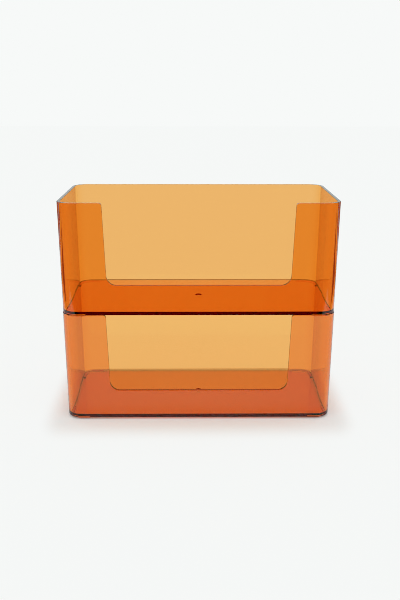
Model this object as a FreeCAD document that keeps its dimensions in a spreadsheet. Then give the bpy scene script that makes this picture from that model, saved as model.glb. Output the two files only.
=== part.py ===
"""Two identical open-front stacking trays, one standing on the other.

Each tray is one moulding in clear tinted plastic: a rounded rectangular tub with thin
walls, a wide mouth cut down from the rim of its front wall, and four low L-shaped ribs
under the corners of its base.  The ribs drop inside the rim of the tray below, so the
base plate of the upper tray rests flat on that rim and can't slide off it.

Frame: millimetres, +Z up, the front faces -Y.  The origin is on the surface that the
stack stands on, under its centre.  Each tray's own body has its base plate on z = 0.
"""
import FreeCAD, Part
import math
import os

import Sketcher

DOCUMENT_NAME = "stacking_trays"
SHEET_NAME = "sizes"
TRAY_LABELS = ("lower_tray", "upper_tray")
PARTS_FOLDER = "parts"

# Driving sizes, in millimetres and degrees: alias, value, what it is.
DRIVING_SIZES = (
    ("tray_width", 250.0, "width over the rim"),
    ("tray_depth", 114.0, "depth over the rim"),
    ("tray_height", 102.0, "underside of the base plate to the rim"),
    ("corner_radius", 14.0, "outer radius of the upright corners at the rim"),
    ("wall_thickness", 2.8, "side, back and front walls"),
    ("base_thickness", 2.6, "base plate"),
    ("draft_angle", 0.2, "lean of the walls that frees the moulding from its die"),
    ("floor_fillet", 0.5, "inside radius between the floor and the walls"),
    ("least_radius", 0.8, "smallest inside radius of an upright corner"),
    ("cheek_width", 40.5, "front wall left standing each side of the mouth"),
    ("lip_height", 27.9, "underside of the base plate to the bottom of the mouth"),
    ("mouth_lean", 1.6, "lean of the mouth's sides towards each other, going down"),
    ("mouth_radius", 9.0, "lower corners of the mouth"),
    ("cheek_radius", 2.4, "top inner corner of each cheek"),
    ("foot_height", 1.7, "corner ribs under the base plate"),
    ("foot_leg", 8.0, "straight part of each leg of a corner rib"),
    ("foot_thickness", 1.8, "thickness of a corner rib"),
    ("nest_clearance", 0.4, "gap between a corner rib and the rim that it drops into"),
    ("rim_round", 0.4, "edge radius along the rim and the mouth"),
    ("base_round", 0.3, "edge radius round the underside of the base plate"),
    ("gate_diameter", 6.2, "moulding gate mark in the middle of the floor"),
    ("gate_flat", 5.9, "flat bottom of the gate mark"),
    ("gate_depth", 1.3, "depth of the gate mark"),
)

# Sizes that follow from the driving ones: alias, formula, what it is.
DERIVED_SIZES = (
    ("rim_inset", "tray_height * tan(draft_angle * 1 deg)",
     "how far the draft sets the base in from the rim"),
    ("floor_inset", "(tray_height - base_thickness) * tan(draft_angle * 1 deg)",
     "how far the draft sets the floor in from the rim"),
    ("inner_radius", "max(corner_radius - wall_thickness; least_radius)",
     "inside radius of the upright corners at the rim"),
    ("floor_radius", "inner_radius - floor_inset",
     "inside radius of the upright corners at the floor"),
    ("floor_round", "min(floor_fillet; floor_radius * 0.9)",
     "floor fillet that the upright corners leave room for"),
    ("foot_width", "tray_width - 2 * (wall_thickness + nest_clearance)",
     "width over the corner ribs"),
    ("foot_depth", "tray_depth - 2 * (wall_thickness + nest_clearance)",
     "depth over the corner ribs"),
    ("foot_radius", "max(inner_radius - nest_clearance; foot_thickness + least_radius)",
     "outer radius of a corner rib"),
    ("mouth_top", "tray_width - 2 * cheek_width", "width of the mouth at the rim"),
)

# How the sketcher numbers an element's points, a sketch's origin and its upright axis.
START, END, CENTRE = range(1, 4)
ORIGIN = (-1, 1)
UPRIGHT = -2
TOLERANCE = 1e-4


def make_sheet(document):
    """Write the driving and the derived sizes into the document's spreadsheet."""
    sheet = document.addObject("Spreadsheet::Sheet", SHEET_NAME)
    rows = [(alias, str(value), note) for alias, value, note in DRIVING_SIZES]
    rows += [(alias, "=" + formula, note) for alias, formula, note in DERIVED_SIZES]
    for row, (alias, content, note) in enumerate(rows, start=1):
        sheet.set("A%d" % row, alias)
        sheet.set("B%d" % row, content)
        sheet.set("C%d" % row, note)
        sheet.setAlias("B%d" % row, alias)
    document.recompute()
    return sheet


def origin_plane(body, role):
    """Find one of the body's own origin planes by its role, such as XY_Plane."""
    return next(plane for plane in body.Origin.OriginFeatures if plane.Role == role)


def new_sketch(body, name, role):
    """Start a sketch on one of the body's own origin planes."""
    sketch = body.newObject("Sketcher::SketchObject", name)
    sketch.AttachmentSupport = [(origin_plane(body, role), "")]
    sketch.MapMode = "FlatFace"
    return sketch


def point(x, y):
    """A point in a sketch's own plane."""
    return FreeCAD.Vector(x, y, 0)


def arc(centre_x, centre_y, radius, start_degrees, end_degrees):
    """An arc in a sketch's own plane, run anticlockwise."""
    circle = Part.Circle(point(centre_x, centre_y), FreeCAD.Vector(0, 0, 1), radius)
    return Part.ArcOfCircle(circle, math.radians(start_degrees), math.radians(end_degrees))


def relate(sketch, kind, *places):
    """Add a geometric relation, such as Tangent or Horizontal, to the sketch."""
    sketch.addConstraint(Sketcher.Constraint(kind, *places))


def dimension(sketch, name, formula, kind, *places):
    """Add a named dimension to the sketch and drive it by a formula in the sheet's sizes."""
    now = sketch.evalExpression(formula)
    index = sketch.addConstraint(Sketcher.Constraint(kind, *places, now))
    sketch.renameConstraint(index, name)
    sketch.setExpression("Constraints." + name, formula)


def rounded_rectangle(sketch, half_width, half_depth, radius, width, depth, corner):
    """Draw a rounded rectangle about the sketch's origin.

    The three numbers only start the drawing off; the three formulas drive it.
    """
    corners = ((1, -1, 270), (1, 1, 0), (-1, 1, 90), (-1, -1, 180))
    for side_x, side_y, start in corners:
        centre_x = side_x * (half_width - radius)
        centre_y = side_y * (half_depth - radius)
        sketch.addGeometry(arc(centre_x, centre_y, radius, start, start + 90), False)
    ends = [(sketch.Geometry[index].EndPoint, sketch.Geometry[(index + 1) % 4].StartPoint)
            for index in range(4)]
    for here, there in ends:
        sketch.addGeometry(Part.LineSegment(here, there), False)
    for index in range(4):
        relate(sketch, "Tangent", index, END, index + 4, START)
        relate(sketch, "Tangent", index + 4, END, (index + 1) % 4, START)
    right, back, left, front = range(4, 8)
    relate(sketch, "Vertical", right)
    relate(sketch, "Vertical", left)
    relate(sketch, "Horizontal", back)
    relate(sketch, "Horizontal", front)
    for other in (1, 2, 3):
        relate(sketch, "Equal", 0, other)
    relate(sketch, "Symmetric", 0, CENTRE, 2, CENTRE, *ORIGIN)
    dimension(sketch, "width", width, "DistanceX", left, START, right, START)
    dimension(sketch, "depth", depth, "DistanceY", front, START, back, START)
    dimension(sketch, "corner", corner, "Radius", 0)


def edges_where(feature, wanted):
    """Name the edges of a feature's shape whose bounding box passes the test."""
    return ["Edge%d" % number for number, edge in enumerate(feature.Shape.Edges, start=1)
            if wanted(edge.BoundBox)]


def level(box, height):
    """True for an edge that lies in the horizontal plane at this height."""
    return abs(box.ZMin - height) < TOLERANCE and abs(box.ZMax - height) < TOLERANCE


def round_edges(body, name, base, edges, radius):
    """Round the named edges of the base feature."""
    if not edges:
        raise RuntimeError(name + " found no edge to round")
    fillet = body.newObject("PartDesign::Fillet", name)
    fillet.Base = (base, edges)
    fillet.setExpression("Radius", radius)
    body.Document.recompute()
    return fillet


def must_cut(feature, base):
    """Stop if a pocket or groove took nothing off the solid before it."""
    if feature.Shape.Volume > base.Shape.Volume - TOLERANCE:
        raise RuntimeError(feature.Name + " cut nothing")
    return feature


def tub(body, sizes):
    """The tub: a drafted block, hollowed from the rim down to the base plate."""
    document = body.Document
    outline = new_sketch(body, body.Name + "_outline", "XY_Plane")
    rounded_rectangle(outline, sizes.tray_width / 2, sizes.tray_depth / 2, sizes.corner_radius,
                      "sizes.tray_width - 2 * sizes.rim_inset",
                      "sizes.tray_depth - 2 * sizes.rim_inset",
                      "sizes.corner_radius - sizes.rim_inset")
    block = body.newObject("PartDesign::Pad", body.Name + "_block")
    block.Profile = outline
    block.setExpression("Length", "sizes.tray_height")
    block.setExpression("TaperAngle", "sizes.draft_angle")
    document.recompute()
    underside = edges_where(block, lambda box: level(box, 0))
    rounded = round_edges(body, body.Name + "_base_round", block, underside,
                          "sizes.base_round")

    floor = new_sketch(body, body.Name + "_floor", "XY_Plane")
    floor.setExpression("AttachmentOffset.Base.z", "sizes.base_thickness")
    rounded_rectangle(floor, sizes.tray_width / 2 - sizes.wall_thickness,
                      sizes.tray_depth / 2 - sizes.wall_thickness, sizes.floor_radius,
                      "sizes.tray_width - 2 * (sizes.floor_inset + sizes.wall_thickness)",
                      "sizes.tray_depth - 2 * (sizes.floor_inset + sizes.wall_thickness)",
                      "sizes.floor_radius")
    hollow = body.newObject("PartDesign::Pocket", body.Name + "_hollow")
    hollow.Profile = floor
    hollow.Reversed = True
    hollow.setExpression("Length", "sizes.tray_height - sizes.base_thickness")
    hollow.setExpression("TaperAngle", "sizes.draft_angle")
    document.recompute()
    must_cut(hollow, rounded)
    floor_edges = edges_where(hollow, lambda box: level(box, sizes.base_thickness))
    return round_edges(body, body.Name + "_floor_fillet", hollow, floor_edges,
                       "sizes.floor_round")


def mouth_profile(sketch, sizes):
    """Draw the mouth as it is seen from the front, from its bottom edge up to the rim."""
    rim, lip, radius = sizes.tray_height, sizes.lip_height, sizes.mouth_radius
    top = sizes.mouth_top / 2
    bottom = top - (rim - lip) * math.tan(math.radians(sizes.mouth_lean))
    corner_x, corner_z = bottom - radius, lip + radius
    drawing = (Part.LineSegment(point(-top, rim), point(-bottom, corner_z)),
               arc(-corner_x, corner_z, radius, 180, 270),
               Part.LineSegment(point(-corner_x, lip), point(corner_x, lip)),
               arc(corner_x, corner_z, radius, 270, 360),
               Part.LineSegment(point(bottom, corner_z), point(top, rim)),
               Part.LineSegment(point(top, rim), point(-top, rim)))
    for piece in drawing:
        sketch.addGeometry(piece, False)
    left, left_corner, lip_line, right_corner, right, rim_line = range(len(drawing))
    relate(sketch, "Tangent", left, END, left_corner, START)
    relate(sketch, "Tangent", left_corner, END, lip_line, START)
    relate(sketch, "Tangent", lip_line, END, right_corner, START)
    relate(sketch, "Tangent", right_corner, END, right, START)
    relate(sketch, "Coincident", right, END, rim_line, START)
    relate(sketch, "Coincident", rim_line, END, left, START)
    relate(sketch, "Horizontal", lip_line)
    relate(sketch, "Equal", left_corner, right_corner)
    relate(sketch, "Equal", left, right)
    relate(sketch, "Symmetric", left, START, right, END, UPRIGHT)
    dimension(sketch, "rim_level", "sizes.tray_height", "DistanceY", *ORIGIN, right, END)
    dimension(sketch, "lip_level", "sizes.lip_height", "DistanceY", *ORIGIN, lip_line, END)
    dimension(sketch, "span", "sizes.mouth_top", "DistanceX", left, START, right, END)
    dimension(sketch, "corner", "sizes.mouth_radius", "Radius", left_corner)
    dimension(sketch, "slope", "(90 - sizes.mouth_lean) * 1 deg", "Angle", right)


def mouth(body, tub_solid, sizes):
    """Cut the mouth through the front wall, then round its edges and the rim's."""
    profile = new_sketch(body, body.Name + "_mouth_profile", "XZ_Plane")
    mouth_profile(profile, sizes)
    cut = body.newObject("PartDesign::Pocket", body.Name + "_mouth")
    cut.Profile = profile
    cut.Type = "ThroughAll"
    cut.Reversed = True
    body.Document.recompute()
    must_cut(cut, tub_solid)

    rim = sizes.tray_height
    half_top = sizes.mouth_top / 2
    front_inside = sizes.wall_thickness - sizes.tray_depth / 2

    def cheek_corner(box):
        """The upright mouth's sides meet the rim in one short edge each."""
        at_mouth = max(abs(box.XMin), abs(box.XMax)) < half_top + TOLERANCE
        return level(box, rim) and at_mouth and box.XLength < TOLERANCE

    cheeks = round_edges(body, body.Name + "_cheek_corners", cut,
                         edges_where(cut, cheek_corner), "sizes.cheek_radius")
    cheek_reach = half_top + 2 * sizes.cheek_radius

    def rim_or_mouth(box):
        """The edges along the rim and the mouth, not those across the wall."""
        in_front = box.YMax < front_inside + sizes.rim_inset + TOLERANCE
        across = box.XLength < TOLERANCE and box.ZLength < TOLERANCE and in_front
        at_mouth = max(abs(box.XMin), abs(box.XMax)) < cheek_reach
        on_mouth = in_front and at_mouth and box.ZMin > sizes.lip_height - TOLERANCE
        return (level(box, rim) or on_mouth) and not across

    return round_edges(body, body.Name + "_rim_round", cheeks,
                       edges_where(cheeks, rim_or_mouth), "sizes.rim_round")


def foot_profile(sketch, sizes):
    """Draw the L of one corner rib, under the right-hand corner at the back."""
    side, back = sizes.foot_width / 2, sizes.foot_depth / 2
    outer, thick = sizes.foot_radius, sizes.foot_thickness
    inner = outer - thick
    centre_x, centre_y = side - outer, back - outer
    end_x, end_y = centre_x - sizes.foot_leg, centre_y - sizes.foot_leg
    drawing = (Part.LineSegment(point(side, end_y), point(side, centre_y)),
               arc(centre_x, centre_y, outer, 0, 90),
               Part.LineSegment(point(centre_x, back), point(end_x, back)),
               Part.LineSegment(point(end_x, back), point(end_x, back - thick)),
               Part.LineSegment(point(end_x, back - thick), point(centre_x, back - thick)),
               arc(centre_x, centre_y, inner, 0, 90),
               Part.LineSegment(point(side - thick, centre_y), point(side - thick, end_y)),
               Part.LineSegment(point(side - thick, end_y), point(side, end_y)))
    for piece in drawing:
        sketch.addGeometry(piece, False)
    (outer_side, outer_arc, outer_back, back_end,
     inner_back, inner_arc, inner_side, side_end) = range(len(drawing))
    relate(sketch, "Tangent", outer_side, END, outer_arc, START)
    relate(sketch, "Tangent", outer_arc, END, outer_back, START)
    relate(sketch, "Coincident", outer_back, END, back_end, START)
    relate(sketch, "Coincident", back_end, END, inner_back, START)
    relate(sketch, "Tangent", inner_back, END, inner_arc, END)
    relate(sketch, "Tangent", inner_arc, START, inner_side, START)
    relate(sketch, "Coincident", inner_side, END, side_end, START)
    relate(sketch, "Coincident", side_end, END, outer_side, START)
    relate(sketch, "Coincident", outer_arc, CENTRE, inner_arc, CENTRE)
    relate(sketch, "Vertical", outer_side)
    relate(sketch, "Horizontal", outer_back)
    relate(sketch, "Vertical", back_end)
    relate(sketch, "Horizontal", side_end)
    relate(sketch, "Equal", outer_side, outer_back)
    dimension(sketch, "side", "sizes.foot_width / 2", "DistanceX",
              *ORIGIN, outer_side, END)
    dimension(sketch, "back", "sizes.foot_depth / 2", "DistanceY",
              *ORIGIN, outer_back, START)
    dimension(sketch, "corner", "sizes.foot_radius", "Radius", outer_arc)
    dimension(sketch, "leg", "sizes.foot_leg", "DistanceX",
              outer_back, END, outer_back, START)
    dimension(sketch, "thickness", "sizes.foot_thickness", "DistanceX",
              side_end, START, side_end, END)


def feet(body, sizes):
    """Four corner ribs under the base plate: one is drawn and mirrored both ways."""
    profile = new_sketch(body, body.Name + "_foot_profile", "XY_Plane")
    foot_profile(profile, sizes)
    foot = body.newObject("PartDesign::Pad", body.Name + "_foot")
    foot.Profile = profile
    foot.Reversed = True
    foot.setExpression("Length", "sizes.foot_height")
    body.Document.recompute()
    four = body.newObject("PartDesign::MultiTransform", body.Name + "_feet")
    four.Originals = [foot]
    mirrors = []
    for role in ("YZ_Plane", "XZ_Plane"):
        mirror = body.newObject("PartDesign::Mirrored", body.Name + "_mirror_" + role[:2])
        mirror.MirrorPlane = (origin_plane(body, role), [""])
        mirrors.append(mirror)
    four.Transformations = mirrors
    body.Tip = four
    body.Document.recompute()
    return four


def gate_mark(body, feet_solid, sizes):
    """The round dimple that the moulding gate leaves in the middle of the floor."""
    profile = new_sketch(body, body.Name + "_gate_profile", "XZ_Plane")
    outer, flat = sizes.gate_diameter / 2, sizes.gate_flat / 2
    floor, bottom = sizes.base_thickness, sizes.base_thickness - sizes.gate_depth
    corners = (point(0, bottom), point(flat, bottom), point(outer, floor), point(0, floor))
    for number, corner in enumerate(corners):
        following = corners[(number + 1) % len(corners)]
        profile.addGeometry(Part.LineSegment(corner, following), False)
    flat_line, slope, floor_line, axis_line = range(len(corners))
    for number in range(len(corners)):
        relate(profile, "Coincident", number, END, (number + 1) % len(corners), START)
    relate(profile, "Horizontal", flat_line)
    relate(profile, "Horizontal", floor_line)
    relate(profile, "PointOnObject", flat_line, START, UPRIGHT)
    relate(profile, "Vertical", axis_line)
    dimension(profile, "level", "sizes.base_thickness", "DistanceY",
              *ORIGIN, axis_line, START)
    dimension(profile, "deep", "sizes.gate_depth", "DistanceY",
              axis_line, END, axis_line, START)
    dimension(profile, "outer", "sizes.gate_diameter / 2", "DistanceX",
              floor_line, END, floor_line, START)
    dimension(profile, "flat", "sizes.gate_flat / 2", "DistanceX",
              flat_line, START, flat_line, END)
    gate = body.newObject("PartDesign::Groove", body.Name + "_gate_mark")
    gate.Profile = profile
    gate.ReferenceAxis = (profile, ["V_Axis"])
    gate.Angle = 360
    body.Document.recompute()
    must_cut(gate, feet_solid)


def tray(document, sizes, label, number):
    """One whole tray, standing on the trays below it."""
    body = document.addObject("PartDesign::Body", label)
    body.Label = label
    document.recompute()
    tub_solid = tub(body, sizes)
    mouth(body, tub_solid, sizes)
    feet_solid = feet(body, sizes)
    gate_mark(body, feet_solid, sizes)
    body.setExpression("Placement.Base.z",
                       "sizes.foot_height + %d * sizes.tray_height" % number)
    return body


def check(document, trays):
    """Stop if any feature failed or any tray isn't one whole solid."""
    for item in document.Objects:
        if "Invalid" in item.State or "Error" in item.State:
            raise RuntimeError("%s failed: %s" % (item.Name, item.State))
    for body in trays:
        shape = body.Shape
        if shape.isNull() or not shape.isValid() or len(shape.Solids) != 1:
            raise RuntimeError(body.Label + " isn't one valid solid")


def main():
    """Build the document, check it and write one STEP file for each tray."""
    document = FreeCAD.newDocument(DOCUMENT_NAME)
    sizes = make_sheet(document)
    trays = [tray(document, sizes, label, number) for number, label in enumerate(TRAY_LABELS)]
    document.recompute()
    check(document, trays)
    os.makedirs(PARTS_FOLDER, exist_ok=True)
    for body in trays:
        body.Shape.exportStep(os.path.join(PARTS_FOLDER, body.Label + ".step"))
        box = body.Shape.optimalBoundingBox()
        print("%s: %.1f x %.1f x %.1f mm, feet at z = %.1f, %.1f cm3" % (
            body.Label, box.XLength, box.YLength, box.ZLength, box.ZMin,
            body.Shape.Volume / 1000))


main()
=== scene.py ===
# %% [markdown]
# # Two stacking desk trays in clear amber plastic
#
# This lesson builds a pair of open-front letter trays, one standing on the other, around a
# CAD model that is already right in size and in how it moves.  Each tray is one thin
# moulding, so what it looks like depends on three things: edges with the right small
# rounds, a plastic that really absorbs light on its way through, and a studio that gives
# it something to bend and mirror.  We take them in that order, and each cell prints what
# it made, so that you can follow along.

import math

import bpy
from mathutils import Matrix, Vector


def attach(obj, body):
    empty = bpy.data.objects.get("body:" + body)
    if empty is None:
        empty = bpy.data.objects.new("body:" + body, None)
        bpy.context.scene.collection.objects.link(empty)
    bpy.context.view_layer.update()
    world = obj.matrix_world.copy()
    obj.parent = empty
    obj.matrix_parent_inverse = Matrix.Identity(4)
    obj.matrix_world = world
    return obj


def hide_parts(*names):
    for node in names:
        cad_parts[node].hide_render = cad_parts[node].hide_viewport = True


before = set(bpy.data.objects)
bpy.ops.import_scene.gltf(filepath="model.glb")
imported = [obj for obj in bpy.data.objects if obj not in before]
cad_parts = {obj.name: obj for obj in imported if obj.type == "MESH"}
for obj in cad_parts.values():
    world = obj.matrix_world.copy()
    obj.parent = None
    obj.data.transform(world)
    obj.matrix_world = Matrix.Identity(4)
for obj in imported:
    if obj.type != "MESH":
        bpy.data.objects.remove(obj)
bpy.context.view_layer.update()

# %% [markdown]
# ## Sizes
#
# The CAD model is exact, but it comes here as flat triangles: its 14 mm corners have a
# face for about every eight degrees.  Paint hides that, and clear plastic doesn't, because
# light bends again at each face.  So we model the tray afresh from the same sizes, with
# finer curves, and let it stand for the CAD nodes.  Sizes are kept in one place and in
# metres.

# %% Sizes of a tray
MM = 0.001
TRAY_WIDTH = 250.0 * MM
TRAY_DEPTH = 114.0 * MM
TRAY_HEIGHT = 102.0 * MM        # underside of the base plate to the rim
CORNER_RADIUS = 14.0 * MM
WALL = 2.8 * MM
BASE = 2.6 * MM
DRAFT = math.radians(0.2)       # lean of the walls that frees the moulding from its die
FLOOR_FILLET = 0.5 * MM
CHEEK_WIDTH = 40.5 * MM         # front wall left standing each side of the mouth
LIP_HEIGHT = 27.9 * MM          # underside of the base plate to the bottom of the mouth
MOUTH_LEAN = math.radians(1.6)
MOUTH_RADIUS = 9.0 * MM
CHEEK_RADIUS = 2.4 * MM
RIM_ROUND = 0.4 * MM
BASE_ROUND = 0.3 * MM
FOOT_HEIGHT = 1.7 * MM
FOOT_LEG = 8.0 * MM
FOOT_THICKNESS = 1.8 * MM
NEST_CLEARANCE = 0.4 * MM
GATE_RADIUS = 3.1 * MM
GATE_FLAT = 2.95 * MM
GATE_DEPTH = 1.3 * MM

# Two flat faces never touch all over: a film of air stays between them, and light
# glances off it.  The rim is this much lower, so that the plate above leaves that film.
AIR_FILM = 0.03 * MM

RIM_LEVEL = FOOT_HEIGHT + TRAY_HEIGHT - AIR_FILM
UNDERSIDE = FOOT_HEIGHT
FLOOR_LEVEL = UNDERSIDE + BASE
RIM_INSET = TRAY_HEIGHT * math.tan(DRAFT)
FLOOR_INSET = (TRAY_HEIGHT - BASE) * math.tan(DRAFT)
HAIR = 0.01 * MM                # what counts as the same height when we select by place
print("rim at %.2f mm, floor at %.2f mm" % (RIM_LEVEL / MM, FLOOR_LEVEL / MM))

# %% [markdown]
# ## Picking by place
#
# By hand you would click on a face or an edge.  A script can't click, but it knows where
# every face is, so it selects by place and direction instead.  Each helper leaves the
# piece in edit mode with only that selected, ready for the next operator.

# %% Helpers that select
UPWARDS = 0.9                   # a face looks up when its normal's z is above this


def only(piece):
    """Leave edit mode and make this piece the only one selected, and the active one."""
    if bpy.context.mode != "OBJECT":
        bpy.ops.object.mode_set(mode="OBJECT")
    bpy.ops.object.select_all(action="DESELECT")
    piece.select_set(True)
    bpy.context.view_layer.objects.active = piece


def edit(piece, kind):
    """Enter edit mode on the piece to pick vertices, edges or faces, with none picked."""
    only(piece)
    bpy.ops.object.mode_set(mode="EDIT")
    bpy.ops.mesh.select_mode(type=kind)
    bpy.ops.mesh.select_all(action="DESELECT")
    bpy.ops.object.mode_set(mode="OBJECT")


def pick_points(piece, wanted):
    """Stay in edit mode with the vertices selected whose place passes the test."""
    edit(piece, "VERT")
    for vertex in piece.data.vertices:
        vertex.select = wanted(vertex.co)
    bpy.ops.object.mode_set(mode="EDIT")


def pick_edges(piece, wanted):
    """Stay in edit mode with the edges selected whose two ends pass the test."""
    edit(piece, "EDGE")
    points = piece.data.vertices
    for edge in piece.data.edges:
        edge.select = wanted(*(points[index].co for index in edge.vertices))
    bpy.ops.object.mode_set(mode="EDIT")


def pick_faces(piece, wanted):
    """Stay in edit mode with the faces selected whose centre and normal pass."""
    edit(piece, "FACE")
    for face in piece.data.polygons:
        face.select = wanted(face.center, face.normal)
    bpy.ops.object.mode_set(mode="EDIT")


def at(height):
    """A test for edges that lie at this height."""
    return lambda start, end: max(abs(start.z - height), abs(end.z - height)) < HAIR


def report(piece):
    """Print how many faces the piece has and how many of its edges aren't closed."""
    only(piece)
    shared = {}
    for face in piece.data.polygons:
        for key in face.edge_keys:
            shared[key] = shared.get(key, 0) + 1
    loose = sum(1 for count in shared.values() if count != 2)
    print("%s: %d faces, %d open edges" % (piece.name, len(piece.data.polygons), loose))


# %% [markdown]
# ## The tub
#
# The real tray is shot in one go into a steel die: a rounded rectangular tub whose walls
# lean out by a fifth of a degree, or it would never come off the core.  It could be a
# box with a Solidify modifier, but that gives every wall and the floor one thickness and
# one kind of corner.  Starting from the outline of the rim and pushing it down with
# inset, which can move a face while it shrinks it, gives walls with their true lean.
# Nearly all that we add here starts as a rectangle, so one helper adds them.

# %% A helper that adds a rectangle
def rectangle(name, width, height, place, turn=0.0):
    """Add a rectangle at its size and place, flat or turned up about X, and name it."""
    bpy.ops.object.select_all(action="DESELECT")
    bpy.ops.mesh.primitive_plane_add(size=1, location=place, rotation=(turn, 0, 0))
    flat = bpy.context.active_object
    flat.name = name
    flat.scale = (width, height, 1)
    bpy.ops.object.transform_apply(location=True, rotation=True, scale=True)
    return flat


# %% The outline of the rim
CORNER_STEPS = 28               # steps in a quarter turn; light shows fewer as facets

tray = rectangle("lower_tray_moulding", TRAY_WIDTH, TRAY_DEPTH, (0, 0, RIM_LEVEL))
pick_points(tray, lambda place: True)
bpy.ops.mesh.bevel(offset=CORNER_RADIUS, segments=CORNER_STEPS, affect="VERTICES")
report(tray)

# %% Down to the underside, and the top closed
pick_faces(tray, lambda centre, normal: True)
bpy.ops.mesh.flip_normals()
bpy.ops.mesh.inset(thickness=RIM_INSET, depth=RIM_LEVEL - UNDERSIDE)
pick_edges(tray, at(RIM_LEVEL))
bpy.ops.mesh.edge_face_add()
bpy.ops.mesh.select_all(action="SELECT")
bpy.ops.mesh.normals_make_consistent(inside=False)
report(tray)

# %% The rim, and the hollow down to the floor
pick_faces(tray, lambda centre, normal: normal.z > UPWARDS)
bpy.ops.mesh.inset(thickness=WALL)
bpy.ops.mesh.inset(thickness=FLOOR_INSET, depth=FLOOR_LEVEL - RIM_LEVEL)
report(tray)

# %% Round the underside and fillet the floor
FILLET_STEPS = 5
ROUND_STEPS = 3

pick_edges(tray, at(FLOOR_LEVEL))
bpy.ops.mesh.bevel(offset=FLOOR_FILLET, segments=FILLET_STEPS, affect="EDGES")
pick_edges(tray, at(UNDERSIDE))
bpy.ops.mesh.bevel(offset=BASE_ROUND, segments=ROUND_STEPS, affect="EDGES")
report(tray)

# %% [markdown]
# ## The mouth
#
# The front wall is cut down to a low lip, so that things can be reached from in front.
# The cut has leaning sides and round lower corners.  Cutting it with a Boolean keeps the
# wall's faces flat all round the mouth; moving the wall's own edges about would not.

# %% A cutter in the shape of the mouth
UPRIGHT = math.radians(90)
ABOVE_RIM = 10.0 * MM
CUT_FROM = -65.0 * MM           # in front of the front wall, and then behind it
CUT_TO = -45.0 * MM
MOUTH_STEPS = 20

lip_level = UNDERSIDE + LIP_HEIGHT
mouth_top = TRAY_WIDTH / 2 - CHEEK_WIDTH
lip_half = mouth_top - (RIM_LEVEL - lip_level) * math.tan(MOUTH_LEAN)
open_half = mouth_top + ABOVE_RIM * math.tan(MOUTH_LEAN)
cut_height = RIM_LEVEL + ABOVE_RIM - lip_level

cutter = rectangle("mouth_cutter", 2 * lip_half, cut_height,
                   (0, CUT_FROM, lip_level + cut_height / 2), UPRIGHT)
pick_points(cutter, lambda place: place.z > RIM_LEVEL)
bpy.ops.transform.resize(value=(open_half / lip_half, 1, 1))
pick_points(cutter, lambda place: place.z < RIM_LEVEL)
corner_run = MOUTH_RADIUS * math.tan((UPRIGHT - MOUTH_LEAN) / 2)
bpy.ops.mesh.bevel(offset=corner_run, segments=MOUTH_STEPS, affect="VERTICES")
pick_faces(cutter, lambda centre, normal: True)
bpy.ops.mesh.extrude_region_move(
    TRANSFORM_OT_translate={"value": (0, CUT_TO - CUT_FROM, 0)})
bpy.ops.mesh.select_all(action="SELECT")
bpy.ops.mesh.normals_make_consistent(inside=False)
report(cutter)


# %% Cut the mouth
def combine(piece, tool, operation):
    """Cut the tool from the piece, or join it on, and throw the tool away."""
    only(piece)
    boolean = piece.modifiers.new("combine", "BOOLEAN")
    boolean.operation = operation
    boolean.solver = "EXACT"
    boolean.object = tool
    bpy.ops.object.modifier_apply(modifier=boolean.name)
    only(tool)
    bpy.ops.object.delete()
    report(piece)


combine(tray, cutter, "DIFFERENCE")

# %% [markdown]
# ## Rounded edges
#
# No moulded edge is sharp.  The two upright corners beside the mouth have a clear round
# that you can see, and the whole rim and mouth have a hair's round that you only see as
# the bright line it draws.  That line is what tells the eye that a clear wall has an
# edge at all, so it is modelled, not left to shading.

# %% Round the cheeks, then the rim and the mouth
CHEEK_STEPS = 8
SHARP_OVER = math.radians(60)   # only true edges turn this far from face to face


def across_rim(start, end):
    """The two short edges where the sides of the mouth meet the rim."""
    beside_mouth = max(abs(abs(start.x) - mouth_top), abs(abs(end.x) - mouth_top)) < HAIR
    return at(RIM_LEVEL)(start, end) and beside_mouth


pick_edges(tray, across_rim)
bpy.ops.mesh.bevel(offset=CHEEK_RADIUS, segments=CHEEK_STEPS, affect="EDGES")
pick_edges(tray, lambda start, end: False)
bpy.ops.mesh.edges_select_sharp(sharpness=SHARP_OVER)
bpy.ops.mesh.bevel(offset=RIM_ROUND, segments=ROUND_STEPS, affect="EDGES")
report(tray)

# %% [markdown]
# ## Feet that nest
#
# Under each corner of the base a low rib turns the corner.  It stands on the desk, and on
# the upper tray it drops inside the rim below.  One rib is a small upright profile that
# is extruded, spun a quarter turn and extruded again; a Mirror modifier makes the other
# three.  They start inside the plate, so that the join leaves no seam.

# %% One corner rib
ROOT = 0.5 * MM                 # how far a rib reaches up into the base plate
RIB_STEPS = 16

rib_side = TRAY_WIDTH / 2 - WALL - NEST_CLEARANCE
rib_back = TRAY_DEPTH / 2 - WALL - NEST_CLEARANCE
rib_radius = CORNER_RADIUS - WALL - NEST_CLEARANCE
turn_centre = Vector((rib_side - rib_radius, rib_back - rib_radius, 0))
rib_tall = FOOT_HEIGHT + ROOT

rib = rectangle("corner_rib", FOOT_THICKNESS, rib_tall,
                (rib_side - FOOT_THICKNESS / 2, turn_centre.y - FOOT_LEG, rib_tall / 2),
                UPRIGHT)
pick_faces(rib, lambda centre, normal: True)
bpy.ops.mesh.extrude_region_move(TRANSFORM_OT_translate={"value": (0, FOOT_LEG, 0)})
bpy.ops.mesh.spin(steps=RIB_STEPS, angle=math.radians(90), center=turn_centre,
                  axis=(0, 0, -1))
bpy.ops.mesh.extrude_region_move(TRANSFORM_OT_translate={"value": (-FOOT_LEG, 0, 0)})
report(rib)

# %% Four ribs, joined to the base
mirror = rib.modifiers.new("four_corners", "MIRROR")
mirror.use_axis = (True, True, False)
bpy.ops.object.modifier_apply(modifier=mirror.name)
pick_faces(rib, lambda centre, normal: True)
bpy.ops.mesh.remove_doubles(threshold=HAIR)
bpy.ops.mesh.normals_make_consistent(inside=False)
report(rib)
combine(tray, rib, "UNION")

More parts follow.
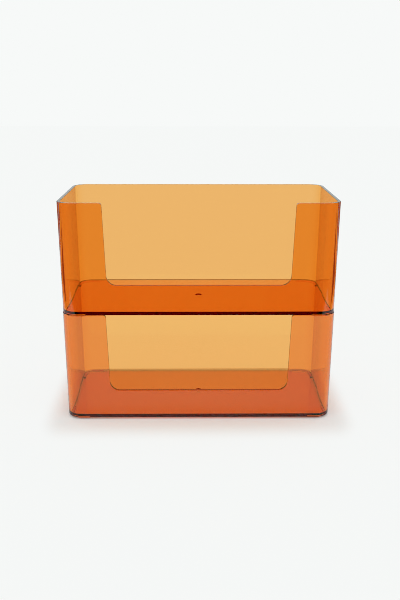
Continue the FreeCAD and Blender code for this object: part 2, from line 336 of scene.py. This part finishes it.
# %% [markdown]
# ## The gate mark
#
# The plastic ran into the die through one small hole in the middle of the floor, and it
# leaves a round dimple there.  Its wall faces us, and light that enters there is caught
# between the two faces of the plate, so the dimple shows as a short dark line.  A cone
# cuts it: its slope carries on above the floor, so that the cut has no doubtful edge
# exactly at the face.

# %% Cut the gate mark
ABOVE = 0.2 * MM                # how far the cone reaches out of the floor
GATE_STEPS = 48

slope = (GATE_RADIUS - GATE_FLAT) / GATE_DEPTH
bpy.ops.object.select_all(action="DESELECT")
bpy.ops.mesh.primitive_cone_add(
    vertices=GATE_STEPS, radius1=GATE_FLAT, radius2=GATE_RADIUS + slope * ABOVE,
    depth=GATE_DEPTH + ABOVE, location=(0, 0, FLOOR_LEVEL + (ABOVE - GATE_DEPTH) / 2))
dimple = bpy.context.active_object
dimple.name = "gate_dimple"
bpy.ops.object.transform_apply(location=True, rotation=True, scale=True)
combine(tray, dimple, "DIFFERENCE")

# %% [markdown]
# ## Smooth where it is round, flat where it is flat
#
# Smooth shading blends the normals of neighbouring faces.  Next to a hair's round that
# would bend the light over the whole flat wall as well.  Weighted normals give each
# corner point the direction of its largest face, so that the walls stay true and all the
# turning happens in the rounds.

# %% Shade the tray, then copy it upwards
SMOOTH_UNDER = math.radians(40)
BY_AREA_ALONE = 100             # the largest faces decide, and the small rounds follow

only(tray)
bpy.ops.object.shade_smooth_by_angle(angle=SMOOTH_UNDER)
weighted = tray.modifiers.new("weighted", "WEIGHTED_NORMAL")
weighted.keep_sharp = True
weighted.weight = BY_AREA_ALONE
bpy.ops.object.modifier_apply(modifier=weighted.name)

bpy.ops.object.duplicate()
upper = bpy.context.active_object
upper.name = "upper_tray_moulding"
upper.location.z = TRAY_HEIGHT
bpy.ops.object.transform_apply(location=True, rotation=True, scale=True)
for piece, node in ((tray, "lower_tray"), (upper, "upper_tray")):
    piece.data.name = piece.name
    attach(piece, node)
    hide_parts(node)
    report(piece)

# %% [markdown]
# ## The plastic
#
# This is polystyrene, injection moulded and clear, tinted right through.  The die was
# polished, so the faces are glossy, and a thin wall looks yellow while a thick path, such
# as the base plate seen along its length, turns red and then nearly black.  A coloured
# surface can't do that.  Absorption inside the volume can: each colour fades with the
# distance that it travels in the plastic, blue fastest and red hardly at all.

# %% Helpers for materials
def linear(hex_colour):
    """Turn an sRGB hex colour into the linear RGBA that a shader takes."""
    parts = [int(hex_colour[i:i + 2], 16) / 255 for i in (1, 3, 5)]
    return [part / 12.92 if part <= 0.04045 else ((part + 0.055) / 1.055) ** 2.4
            for part in parts] + [1.0]


def add(tree, kind, settings=None, **inputs):
    """Add a node with its settings, and its inputs as values or as outputs to link.

    An input goes by its name, as in From_Min, or by its number, as in i0.
    """
    node = tree.nodes.new(kind)
    for name, value in (settings or {}).items():
        setattr(node, name, value)
    for name, value in inputs.items():
        by_number = name[0] == "i" and name[1:].isdigit()
        key = int(name[1:]) if by_number else name.replace("_", " ")
        if isinstance(value, bpy.types.NodeSocket):
            tree.links.new(value, node.inputs[key])
        else:
            node.inputs[key].default_value = value
    return node


# %% Injection moulded clear polystyrene
# After one metre of plastic, e to the power of minus these is left of red, green, blue.
FADE = (23.0, 221.0, 625.0)
DEEPEST = 0.98                  # how dark the volume's colour is in blue; 1 would be black
WHITE = linear("#FFFFFF")
REFRACTION = 1.5                # from 1.59 in the tables, matched down to its calm faces
# A bright amber dye can glow a little: it takes in blue and gives back orange.  A volume
# that only absorbs can't, so the faces mirror less red, and the walls let it through.
FACE_TINT = linear("#95FFFF")

plastic = bpy.data.materials.new("injection_moulded_clear_polystyrene")
plastic.use_nodes = True
tree = plastic.node_tree
shader = tree.nodes["Principled BSDF"]
shader.inputs["IOR"].default_value = REFRACTION
shader.inputs["Specular Tint"].default_value = FACE_TINT
shader.inputs["Transmission Weight"].default_value = 1.0
density = max(FADE) / DEEPEST
absorb = add(tree, "ShaderNodeVolumeAbsorption",
             Color=[1 - fade / density for fade in FADE] + [1.0], Density=density)
tree.links.new(absorb.outputs[0], tree.nodes["Material Output"].inputs["Volume"])
for piece in (tray, upper):
    piece.data.materials.clear()
    piece.data.materials.append(plastic)
print("absorption %.0f per metre in" % density, [round(1 - f / density, 3) for f in FADE])

# %% [markdown]
# ## What polishing and use leave on it, and painted shade edge on
#
# A die is polished by hand, so a moulded face is never perfect.  It has long shallow
# waves that make reflections swim, a faint haze in patches where the polish was left
# earlier, and on the floor short fine scratches from the things that slide in and out.
# Waves move the surface, so they go into the bump; haze and scratches scatter light, so
# they go into the roughness.  Faces seen edge on also get a dark brown tint in their
# colour, picked out by Layer Weight.  That is painted shade, which darkens the outlines and
# the walls that we see at a slant.

# %% Waves, haze, scratches, and painted shade at a slant
WAVE_LENGTH = 16.0 * MM
WAVE_HEIGHT = 0.012 * MM
HAZE_PATCH = 30.0 * MM
SCRATCH_LENGTH = 9.0 * MM       # real ones are 0.05 mm wide; these are as wide as shows
SCRATCH_WIDTH = 0.35 * MM
SCRATCH_TURN = math.radians(12) # things don't slide in quite straight
POLISHED, HAZY = 0.008, 0.03    # roughness where the polish is best, and worst
SCRATCHED = 0.12                # what a scratch adds to it
HAZE_NOISE = (0.35, 0.7)        # the noise values between which haze sets in
SCRATCH_NOISE = (0.72, 0.8)     # and between which a scratch does, so there are few
SLANT_STARTS = 0.76             # 0 is a straight look at the face, 1 is along it
SLANT_ENDS = 0.92
# painted shade: faces seen at a slant are tinted towards this dark brown
SLANT_PAINTED_SHADE = linear("#8A5A3C")

place = add(tree, "ShaderNodeTexCoord")
waves = add(tree, "ShaderNodeTexNoise", Vector=place.outputs["Object"],
            Scale=1 / WAVE_LENGTH, Detail=1.0)
bump = add(tree, "ShaderNodeBump", Height=waves.outputs[0], Distance=WAVE_HEIGHT)
haze = add(tree, "ShaderNodeTexNoise", Vector=place.outputs["Object"],
           Scale=1 / HAZE_PATCH, Detail=4.0)
polish = add(tree, "ShaderNodeMapRange", Value=haze.outputs[0],
             From_Min=HAZE_NOISE[0], From_Max=HAZE_NOISE[1],
             To_Min=POLISHED, To_Max=HAZY)
strokes = add(tree, "ShaderNodeMapping", Vector=place.outputs["Object"],
              Rotation=(0, 0, SCRATCH_TURN),
              Scale=(1 / SCRATCH_WIDTH, 1 / SCRATCH_LENGTH, 1 / SCRATCH_LENGTH))
grain = add(tree, "ShaderNodeTexNoise", Vector=strokes.outputs[0], Scale=1.0, Detail=0.0)
scratch = add(tree, "ShaderNodeMapRange", Value=grain.outputs[0],
              From_Min=SCRATCH_NOISE[0], From_Max=SCRATCH_NOISE[1],
              To_Min=0.0, To_Max=SCRATCHED)
facing = add(tree, "ShaderNodeSeparateXYZ", i0=place.outputs["Normal"])
on_floor = add(tree, "ShaderNodeMath", {"operation": "GREATER_THAN"},
               i0=facing.outputs["Z"], i1=UPWARDS)
worn = add(tree, "ShaderNodeMath", {"operation": "MULTIPLY"},
           i0=scratch.outputs[0], i1=on_floor.outputs[0])
rough = add(tree, "ShaderNodeMath", {"operation": "ADD"},
            i0=polish.outputs[0], i1=worn.outputs[0])
edge_on = add(tree, "ShaderNodeLayerWeight", Blend=0.5)
edge_on_shade_mask = add(tree, "ShaderNodeMapRange", {"interpolation_type": "SMOOTHSTEP"},
            Value=edge_on.outputs["Facing"], From_Min=SLANT_STARTS, From_Max=SLANT_ENDS,
            To_Min=0.0, To_Max=1.0)
# Painted shade: the colour turns dark brown as a face is seen more edge on.
painted_slant_shade = add(tree, "ShaderNodeMix", {"data_type": "RGBA"}, i0=edge_on_shade_mask.outputs[0],
           A=WHITE, B=SLANT_PAINTED_SHADE)
tree.links.new(painted_slant_shade.outputs["Result"], shader.inputs["Base Color"])
tree.links.new(rough.outputs[0], shader.inputs["Roughness"])
tree.links.new(bump.outputs[0], shader.inputs["Normal"])
print("%s has %d nodes" % (plastic.name, len(tree.nodes)))

# %% [markdown]
# ## The paper that it stands on
#
# The trays stand on white seamless paper: uncoated, so it has no shine, and very slightly
# mottled, as pulp is.  Clear plastic shows whatever is behind and below it, so the paper
# matters more here than under a solid thing.  Near the trays it is plain lit paper, which
# takes their soft amber shadow.  Within five centimetres it turns into an even pale glow,
# so that the paper runs into the background with no line between them.  That glow is only
# for what looks at the paper; Diffuse Depth is still 0 there.  It lights nothing.  Where
# the glow begins is painted light: it cuts the shadow short, more at the sides and most
# behind the trays, and a faint painted glow lies under the trays as well.

# %% A sheet of seamless paper
FLOOR_DROP = 0.05 * MM          # keeps the paper off the soles of the feet
PAPER_SIZE = 8.0                # metres

sheet = rectangle("seamless_paper", PAPER_SIZE, PAPER_SIZE, (0, 0, -FLOOR_DROP))
print("paper %.0f m wide" % sheet.dimensions.x)

# %% Uncoated paper, and where its even glow begins
PALE = linear("#F7F9F8")        # the paper and the background, as they are seen
PULP = 2.0 * MM
PULP_DARK, PULP_LIGHT = linear("#F5F6F5"), linear("#F8F9F8")
SHADOW_STARTS = 4.0 * MM        # from the foot of the walls
SHADOW_ENDS = 45 * MM           # beyond this the paper is pure background
SIDE_STRETCH = 1.7              # painted glow sets in sooner at the sides, so the shadow is shorter there
BEHIND_STRETCH = 6.0            # and much sooner behind, so there is hardly any shadow behind
PAINTED_GLOW_UNDER = 0.09               # painted glow under the trays, which lightens their shadow there
GLOW = 0.9                      # out there this share is glow, and the rest lit paper
BELOW_ONE = 0.5                 # Light Path counts 0, 1, 2 ..., and this parts 0 from 1

paper = bpy.data.materials.new("uncoated_white_paper")
paper.use_nodes = True
tree = paper.node_tree
sheet_shader = tree.nodes["Principled BSDF"]
sheet_shader.inputs["Roughness"].default_value = 1.0
sheet_shader.inputs["Specular IOR Level"].default_value = 0.0
place = add(tree, "ShaderNodeTexCoord")
pulp = add(tree, "ShaderNodeTexNoise", Vector=place.outputs["Object"], Scale=1 / PULP)
mottle = add(tree, "ShaderNodeMix", {"data_type": "RGBA"}, i0=pulp.outputs[0],
             A=PULP_DARK, B=PULP_LIGHT)
tree.links.new(mottle.outputs["Result"], sheet_shader.inputs["Base Color"])

# How far a point of the paper is from the foot of the walls: to the left and in front,
# then to the right and behind.  Under the trays both are nothing.
footprint = (TRAY_WIDTH / 2 - RIM_INSET, TRAY_DEPTH / 2 - RIM_INSET, 0)
flipped = add(tree, "ShaderNodeVectorMath", {"operation": "MULTIPLY"},
              i0=place.outputs["Object"], i1=(-1, -1, 0))
past_front = add(tree, "ShaderNodeVectorMath", {"operation": "SUBTRACT"},
                 i0=flipped.outputs[0], i1=footprint)
in_front = add(tree, "ShaderNodeVectorMath", {"operation": "MAXIMUM"},
               i0=past_front.outputs[0], i1=(0, 0, 0))
past_back = add(tree, "ShaderNodeVectorMath", {"operation": "SUBTRACT"},
                i0=place.outputs["Object"], i1=footprint)
behind = add(tree, "ShaderNodeVectorMath", {"operation": "MAXIMUM"},
             i0=past_back.outputs[0], i1=(0, 0, 0))
longer_front = add(tree, "ShaderNodeVectorMath", {"operation": "MULTIPLY"},
                   i0=in_front.outputs[0], i1=(SIDE_STRETCH, 1, 0))
longer = add(tree, "ShaderNodeVectorMath", {"operation": "MULTIPLY_ADD"},
             i0=behind.outputs[0], i1=(SIDE_STRETCH, BEHIND_STRETCH, 0),
             i2=longer_front.outputs[0])
away = add(tree, "ShaderNodeVectorMath", {"operation": "LENGTH"}, i0=longer.outputs[0])
# Painted light: the glow's share grows with this stretched distance from the feet, so it
# cuts the real shadow short, and lies faintly under the trays.
painted_glow_share = add(tree, "ShaderNodeMapRange", {"interpolation_type": "SMOOTHSTEP"},
               Value=away.outputs["Value"], From_Min=SHADOW_STARTS, From_Max=SHADOW_ENDS,
               To_Min=PAINTED_GLOW_UNDER, To_Max=GLOW)
path = add(tree, "ShaderNodeLightPath")
looked_at = add(tree, "ShaderNodeMath", {"operation": "LESS_THAN"},
                i0=path.outputs["Diffuse Depth"], i1=BELOW_ONE)
amount = add(tree, "ShaderNodeMath", {"operation": "MULTIPLY"},
             i0=painted_glow_share.outputs[0], i1=looked_at.outputs[0])
glow = add(tree, "ShaderNodeEmission", Color=PALE, Strength=1.0)
blend = add(tree, "ShaderNodeMixShader", i0=amount.outputs[0],
            i1=sheet_shader.outputs[0], i2=glow.outputs[0])
tree.links.new(blend.outputs[0], tree.nodes["Material Output"].inputs["Surface"])
sheet.data.materials.append(paper)
print("shadow from %.0f to %.0f mm" % (SHADOW_STARTS / MM, SHADOW_ENDS / MM))

# %% [markdown]
# ## A black cloth for the reflections
#
# A glossy face that mirrors white paper turns milky.  So a black cloth lies on the floor
# in front, out of the picture.  The front of the upper tray mirrors it, and its amber
# comes out deep and clean; the lower tray mirrors the paper before the cloth, and stays a
# little milky, as it would on a desk.  The cloth is there only for light that a face has
# mirrored at least once.  Glossy Depth counts those times; for every other ray the cloth
# is transparent, so that nobody sees it through the trays from behind.

# %% Lay the cloth in front
CLOTH_FROM = -0.35              # metres, where its near edge lies
CLOTH_DEEP = 4.0
CLOTH_WIDE = 6.0
BLACK_PILE = linear("#030303")

cloth = rectangle("black_cloth", CLOTH_WIDE, CLOTH_DEEP,
                  (0, CLOTH_FROM - CLOTH_DEEP / 2, MM))
cloth.visible_diffuse = False
cloth.visible_shadow = False

velvet = bpy.data.materials.new("black_velvet")
velvet.use_nodes = True
tree = velvet.node_tree
pile = tree.nodes["Principled BSDF"]
pile.inputs["Base Color"].default_value = BLACK_PILE
pile.inputs["Roughness"].default_value = 1.0
pile.inputs["Specular IOR Level"].default_value = 0.0
path = add(tree, "ShaderNodeLightPath")
mirrored = add(tree, "ShaderNodeMath", {"operation": "GREATER_THAN"},
               i0=path.outputs["Glossy Depth"], i1=BELOW_ONE)
unseen = add(tree, "ShaderNodeBsdfTransparent")
blend = add(tree, "ShaderNodeMixShader", i0=mirrored.outputs[0],
            i1=unseen.outputs[0], i2=pile.outputs[0])
tree.links.new(blend.outputs[0], tree.nodes["Material Output"].inputs["Surface"])
cloth.data.materials.append(velvet)
print("cloth from y = %.2f m" % CLOTH_FROM)

# %% [markdown]
# ## Brown at the sides, for the edges
#
# Clear plastic in front of white has hardly an outline.  So two brown cards stand behind
# it, left and right, just out of the picture, and two brown cloths lie on the floor
# further out.  Inside a round corner our look is mirrored from face to face and leaves
# sideways, on to a card or a cloth, so each corner gets a thin dark line, and the flat
# walls still show white.  The cloths begin where only the upper tray mirrors them.  All
# four are a brown copy of the velvet, because a black line would look like ink, and
# for a look straight through the trays they are transparent too.

# %% Brown velvet, and a helper that puts up a pair
BROWN_PILE = linear("#A86850")

brown = velvet.copy()
brown.name = "brown_velvet"
brown.node_tree.nodes[pile.name].inputs["Base Color"].default_value = BROWN_PILE


def pair(name, wide, high, place, turn=0.0):
    """Put a sheet of brown velvet on the left and its copy on the right."""
    left = rectangle(name + "_left", wide, high, place, turn)
    left.data.materials.append(brown)
    bpy.ops.object.duplicate_move(TRANSFORM_OT_translate={"value": (-2 * place[0], 0, 0)})
    right = bpy.context.active_object
    right.name = name + "_right"
    bpy.ops.object.transform_apply(location=True, rotation=True, scale=True)
    for side in (left, right):
        side.visible_camera = False
        side.visible_diffuse = False
        side.visible_shadow = False
    print("%s: inner edges %.2f m apart" % (name, -2 * place[0] - wide))


# %% A card and a cloth on each side
CARD_INNER = 0.34               # metres, from the middle to its inner edge
CARD_WIDE = 0.6
CARD_HIGH = 0.6
CARD_BEHIND = 0.55              # how far behind the trays' middle it stands
SIDE_CLOTH_INNER = 0.44
SIDE_CLOTH_WIDE = 2.0
SIDE_CLOTH_DEEP = 0.7           # as much to the back as to the front

pair("card", CARD_WIDE, CARD_HIGH,
     (-CARD_INNER - CARD_WIDE / 2, CARD_BEHIND, CARD_HIGH / 2), UPRIGHT)
pair("side_cloth", SIDE_CLOTH_WIDE, SIDE_CLOTH_DEEP,
     (-SIDE_CLOTH_INNER - SIDE_CLOTH_WIDE / 2, 0, MM))

# %% [markdown]
# ## The light
#
# The light is one big soft source above and a little in front, and white all round.  No
# lamp can be that even, so the world does it, in three roles that Light Path tells
# apart.  What we look at, straight or through the plastic, is pale paper at a strength of
# one.  What glossy faces mirror gets darker to the front, where the room is.  What lights
# the paper is brightest from above in front, and that makes the shadow, which the paper's
# painted glow then cuts short.

# %% The world round the trays
KEY_FROM = Vector((0.0, -0.5, 0.866))   # the direction that the soft light comes from
KEY_BRIGHT = 1.2                # its strength where it is brightest
KEY_DIM = 0.25                  # and far round the sides, where it fades out
KEY_FADED = -0.3                # the cosine of how far round that is
ROOM_DARK = 0.15                # the strength of the room in front, as faces mirror it
ROOM_EDGE = 0.3                 # between minus this and this, front to back, it turns white

world = bpy.data.worlds.new("soft_white_studio")
bpy.context.scene.world = world
world.use_nodes = True
tree = world.node_tree
background = tree.nodes["Background"]
background.inputs["Color"].default_value = PALE
path = add(tree, "ShaderNodeLightPath")
towards = add(tree, "ShaderNodeTexCoord")
to_key = add(tree, "ShaderNodeVectorMath", {"operation": "DOT_PRODUCT"},
             i0=towards.outputs["Generated"], i1=KEY_FROM)
soft_light = add(tree, "ShaderNodeMapRange", Value=to_key.outputs["Value"],
                 From_Min=KEY_FADED, From_Max=1.0, To_Min=KEY_DIM, To_Max=KEY_BRIGHT)
axes = add(tree, "ShaderNodeSeparateXYZ", i0=towards.outputs["Generated"])
room = add(tree, "ShaderNodeMapRange", Value=axes.outputs["Y"],
           From_Min=-ROOM_EDGE, From_Max=ROOM_EDGE, To_Min=ROOM_DARK, To_Max=1.0)
mirrored = add(tree, "ShaderNodeMath", {"operation": "GREATER_THAN"},
               i0=path.outputs["Glossy Depth"], i1=BELOW_ONE)
shown = add(tree, "ShaderNodeMix", {"data_type": "FLOAT"}, i0=mirrored.outputs[0],
            i2=1.0, i3=room.outputs[0])
looked_at = add(tree, "ShaderNodeMath", {"operation": "LESS_THAN"},
                i0=path.outputs["Diffuse Depth"], i1=BELOW_ONE)
strength = add(tree, "ShaderNodeMix", {"data_type": "FLOAT"}, i0=looked_at.outputs[0],
               i2=soft_light.outputs[0], i3=shown.outputs[0])
tree.links.new(strength.outputs[0], background.inputs["Strength"])
print("world with %d nodes" % len(tree.nodes))

# %% [markdown]
# ## Light through many layers
#
# A look through the stack crosses up to eight faces, and light that is caught inside a
# plate is thrown to and fro many more times before it comes out at an edge.  Cycles stops
# after a dozen bounces unless we tell it otherwise, and a stopped ray is black.  It also
# blurs glossy rays after a soft bounce to save noise, which in clear plastic loses light.
# And the edges are lines barely a pixel wide, so the pixel filter is made a little
# narrower than usual, to keep them crisp.

# %% Let light go all the way
MOST_BOUNCES = 32
PIXEL_FILTER = 0.9              # in pixels; Blender's own is 1.5

cycles = bpy.context.scene.cycles
cycles.max_bounces = MOST_BOUNCES
cycles.transmission_bounces = MOST_BOUNCES
cycles.glossy_bounces = MOST_BOUNCES
cycles.blur_glossy = 0.0
cycles.filter_width = PIXEL_FILTER
print("up to %d bounces" % cycles.max_bounces)

# %% [markdown]
# ## The camera
#
# The camera stands two thirds of a metre from the middle of the trays and looks down a
# little, just enough to see both floors.  A place and three turns fix it.  They are
# stacked as matrices in the order that a tripod head turns: round the column, tilted
# down, then levelled.

# %% Set up the camera
CAMERA_PLACE = Vector((-0.00545, -0.66748, 0.31093))
CAMERA_PAN = 0.0105             # radians, to the right
CAMERA_TILT = 0.30572           # radians, down
CAMERA_LEVEL = 0.00203
LENS = 42.755                   # millimetres, for a frame 36 mm high
FRAME_HIGH = 36.0
NEAREST = 10 * MM

bpy.ops.object.camera_add()
camera = bpy.context.active_object
camera.data.sensor_fit = "VERTICAL"
camera.data.sensor_height = FRAME_HIGH
camera.data.lens = LENS
camera.data.clip_start = NEAREST
camera.matrix_world = (Matrix.Translation(CAMERA_PLACE)
                       @ Matrix.Rotation(-CAMERA_PAN, 4, "Z")
                       @ Matrix.Rotation(math.pi / 2 - CAMERA_TILT, 4, "X")
                       @ Matrix.Rotation(CAMERA_LEVEL, 4, "Z"))
bpy.context.scene.camera = camera
bpy.context.scene.view_settings.view_transform = "Standard"
print("camera %.0f mm from the trays" % (-CAMERA_PLACE.y / MM - TRAY_DEPTH / 2 / MM))
